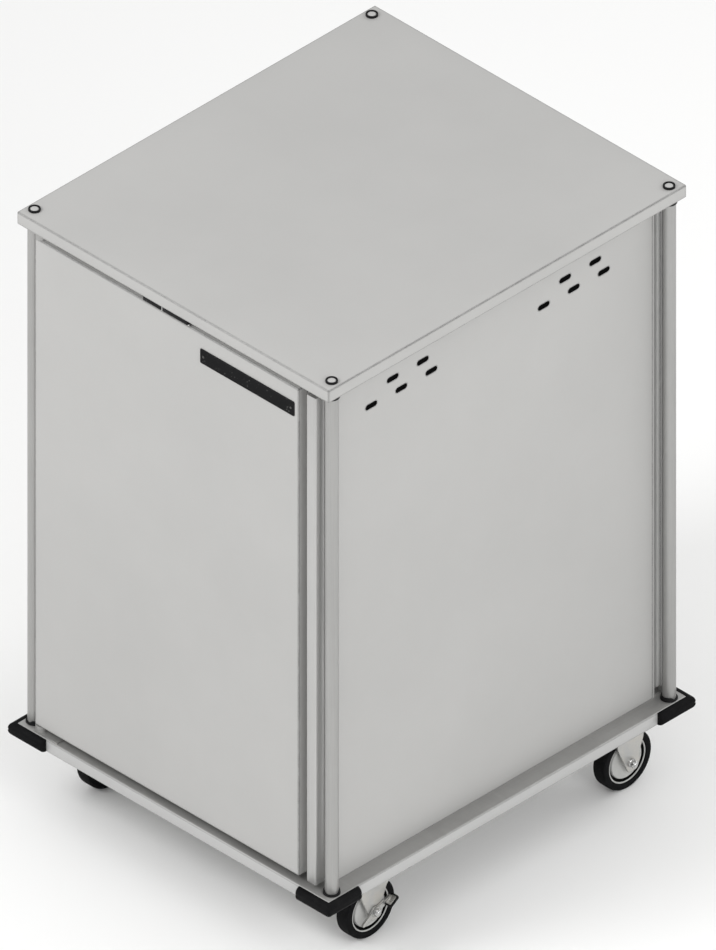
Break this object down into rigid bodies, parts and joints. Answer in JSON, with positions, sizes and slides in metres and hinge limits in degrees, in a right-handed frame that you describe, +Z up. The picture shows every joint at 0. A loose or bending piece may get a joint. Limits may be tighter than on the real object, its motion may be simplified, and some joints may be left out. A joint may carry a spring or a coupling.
{
  "type": "insulated food carrier",
  "caption": "Tall insulated meal-tray cabinet on a wheeled platform, with hinged end doors, corner posts, vents, bumpers and braked swivel casters.",
  "frame": {"origin": "on the floor under the centre of the carrier", "axes": "+Z up, +X to the right seen from the front door, the front door faces -Y"},
  "size_m": [0.8576, 0.9804, 1.3705],
  "materials": {
    "bumper_rubber": "matt",
    "tyre_rubber": "matt",
    "wheel_core": "satin",
    "black_plastic": "satin",
    "nameplate_black": "satin",
    "post_metal": "satin",
    "cover_metal": "satin",
    "panel_metal": "satin",
    "liner_metal": "brushed",
    "breaker_plastic": "satin",
    "door_back_plastic": "satin",
    "gasket_rubber": "matt",
    "foam": "matt",
    "grip_metal": "satin",
    "base_metal": "brushed",
    "rack_metal": "satin",
    "caster_metal": "zinc plated",
    "fastener_metal": "satin"
  },
  "bodies": {
    "chassis": {"base_pan": "base_metal", "base_crossmembers": "base_metal", "bumper_fl": "bumper_rubber", "bumper_fr": "bumper_rubber", "bumper_rl": "bumper_rubber", "bumper_rr": "bumper_rubber", "post_fl": "post_metal", "post_fr": "post_metal", "post_rl": "post_metal", "post_rr": "post_metal", "post_collars": "black_plastic", "post_bolts": "fastener_metal", "top_cover": "cover_metal", "top_underpan": "liner_metal", "side_panel_left": "panel_metal", "side_panel_right": "panel_metal", "insulation": "foam", "inner_liner": "liner_metal", "breaker_front": "breaker_plastic", "breaker_rear": "breaker_plastic", "tray_rack_left": "rack_metal", "tray_rack_centre": "rack_metal", "tray_rack_right": "rack_metal", "vent_plugs": "black_plastic", "door_catches": "black_plastic", "hinge_brackets": "fastener_metal", "swivel_plates": "caster_metal", "rigid_forks": "caster_metal", "rear_axles": "fastener_metal", "caster_bolts": "fastener_metal"},
    "front_door": {"front_door_skin": "panel_metal", "front_door_core": "foam", "front_door_back": "door_back_plastic", "front_door_gasket": "gasket_rubber", "front_door_grip": "grip_metal", "front_door_pivots": "fastener_metal", "front_door_strike": "fastener_metal", "nameplate": "nameplate_black", "nameplate_rivets": "fastener_metal"},
    "rear_door": {"rear_door_skin": "panel_metal", "rear_door_core": "foam", "rear_door_back": "door_back_plastic", "rear_door_gasket": "gasket_rubber", "rear_door_grip": "grip_metal", "rear_door_pivots": "fastener_metal", "rear_door_strike": "fastener_metal"},
    "swivel_fl": {"fork_fl": "caster_metal", "axle_fl": "fastener_metal"},
    "wheel_fl": {"hub_fl": "wheel_core", "tyre_fl": "tyre_rubber"},
    "pedal_fl": {"brake_pedal_fl": "caster_metal"},
    "swivel_fr": {"fork_fr": "caster_metal", "axle_fr": "fastener_metal"},
    "wheel_fr": {"hub_fr": "wheel_core", "tyre_fr": "tyre_rubber"},
    "pedal_fr": {"brake_pedal_fr": "caster_metal"},
    "wheel_rl": {"hub_rl": "wheel_core", "tyre_rl": "tyre_rubber"},
    "wheel_rr": {"hub_rr": "wheel_core", "tyre_rr": "tyre_rubber"}
  },
  "joints": [
    {"name": "front_door_hinge", "type": "hinge", "parent": "chassis", "child": "front_door", "pos_m": [-0.3645, -0.4605, 0.20275], "axis": [0, 0, -1], "range_deg": [0, 150]},
    {"name": "rear_door_hinge", "type": "hinge", "parent": "chassis", "child": "rear_door", "pos_m": [0.3645, 0.4605, 0.20275], "axis": [0, 0, -1], "range_deg": [0, 150]},
    {"name": "swivel_fl", "type": "hinge", "parent": "chassis", "child": "swivel_fl", "pos_m": [-0.3455, -0.2745, 0.142], "axis": [0, 0, 1], "continuous": true},
    {"name": "wheel_spin_fl", "type": "hinge", "parent": "swivel_fl", "child": "wheel_fl", "pos_m": [-0.3455, -0.3095, 0.0635], "axis": [1, 0, 0], "continuous": true},
    {"name": "brake_fl", "type": "hinge", "parent": "swivel_fl", "child": "pedal_fl", "pos_m": [-0.3455, -0.3095, 0.0635], "axis": [1, 0, 0], "range_deg": [-20, 0]},
    {"name": "swivel_fr", "type": "hinge", "parent": "chassis", "child": "swivel_fr", "pos_m": [0.3455, -0.2745, 0.142], "axis": [0, 0, 1], "continuous": true},
    {"name": "wheel_spin_fr", "type": "hinge", "parent": "swivel_fr", "child": "wheel_fr", "pos_m": [0.3455, -0.3095, 0.0635], "axis": [1, 0, 0], "continuous": true},
    {"name": "brake_fr", "type": "hinge", "parent": "swivel_fr", "child": "pedal_fr", "pos_m": [0.3455, -0.3095, 0.0635], "axis": [1, 0, 0], "range_deg": [-20, 0]},
    {"name": "wheel_spin_rl", "type": "hinge", "parent": "chassis", "child": "wheel_rl", "pos_m": [-0.3455, 0.374, 0.0635], "axis": [1, 0, 0], "continuous": true},
    {"name": "wheel_spin_rr", "type": "hinge", "parent": "chassis", "child": "wheel_rr", "pos_m": [0.3455, 0.374, 0.0635], "axis": [1, 0, 0], "continuous": true}
  ]
}
